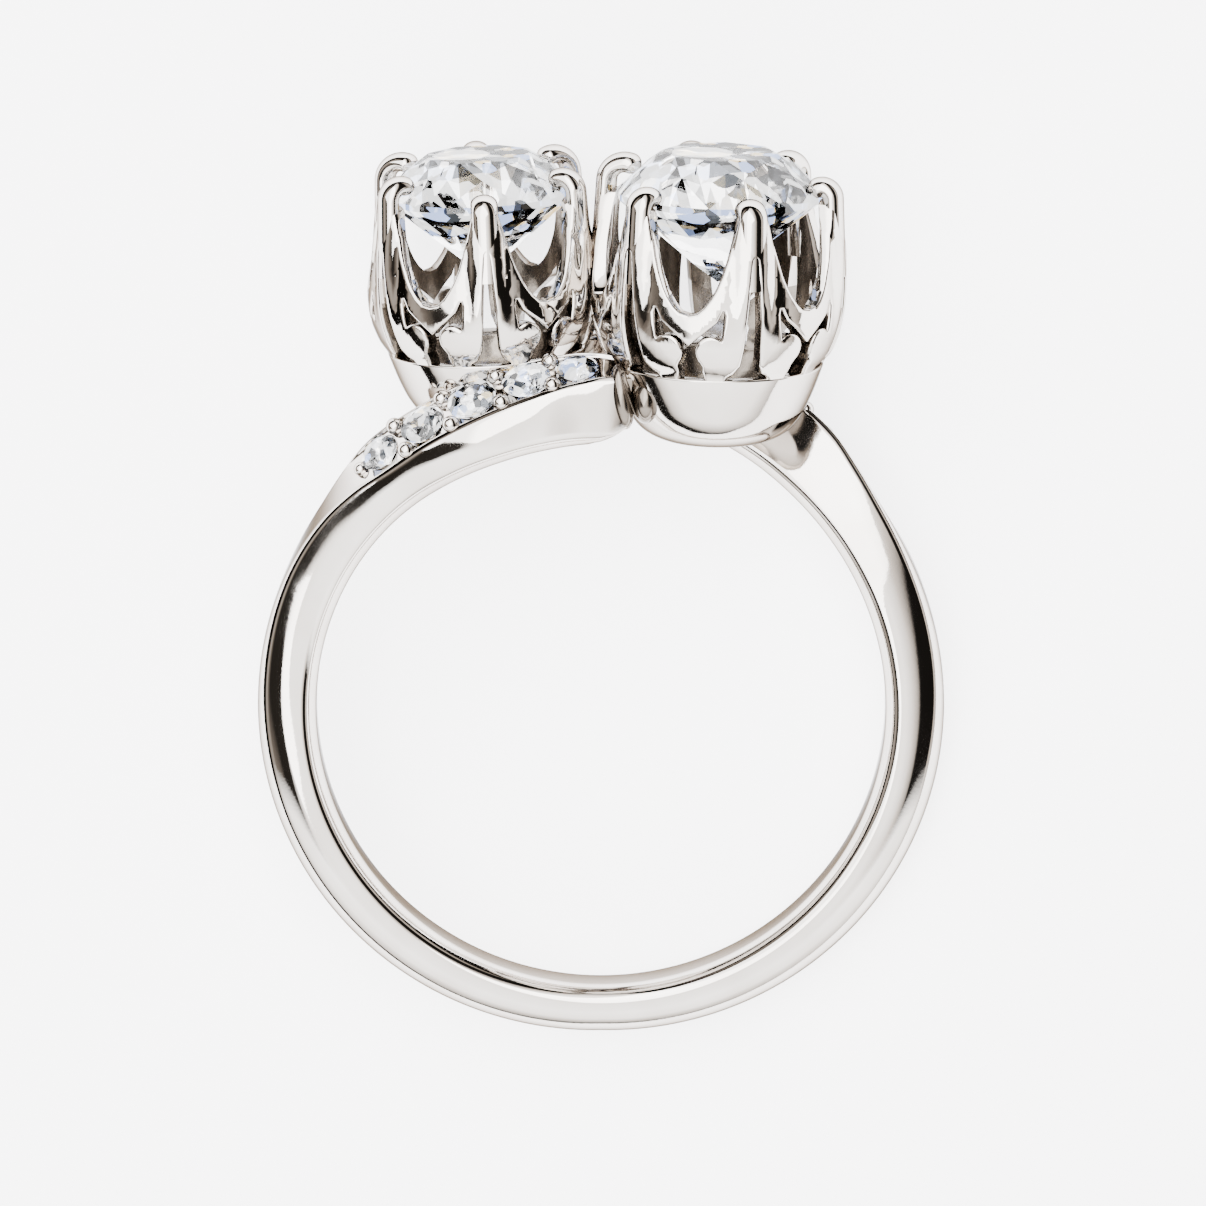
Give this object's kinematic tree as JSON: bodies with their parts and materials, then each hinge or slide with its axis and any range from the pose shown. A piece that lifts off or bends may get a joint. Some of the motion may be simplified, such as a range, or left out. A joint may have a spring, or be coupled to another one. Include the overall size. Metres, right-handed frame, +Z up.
{
  "type": "toi et moi ring with two stones",
  "caption": "Finger ring whose two arms pass each other at the top, each with a row of small stones, and meet at two pierced claw heads that each hold a large round stone.",
  "frame": {"origin": "on the floor under the middle of the lying ring's bounding box", "axes": "the ring lies on the back of its band and left head: +Z up, which is roughly out of the front of the finger hole, +Y towards the heads, +X to the right as seen from the front"},
  "size_m": [0.0198, 0.0261, 0.0083],
  "materials": {
    "metal": "polished platinum alloy, a warm white",
    "stone": "polished colourless cut stone"
  },
  "bodies": {
    "root": {"ring_mount": "metal", "left_stone": "stone", "right_stone": "stone", "front_stone_1": "stone", "front_stone_2": "stone", "front_stone_3": "stone", "front_stone_4": "stone", "front_stone_5": "stone", "back_stone_1": "stone", "back_stone_2": "stone", "back_stone_3": "stone", "back_stone_4": "stone", "back_stone_5": "stone"}
  },
  "joints": []
}
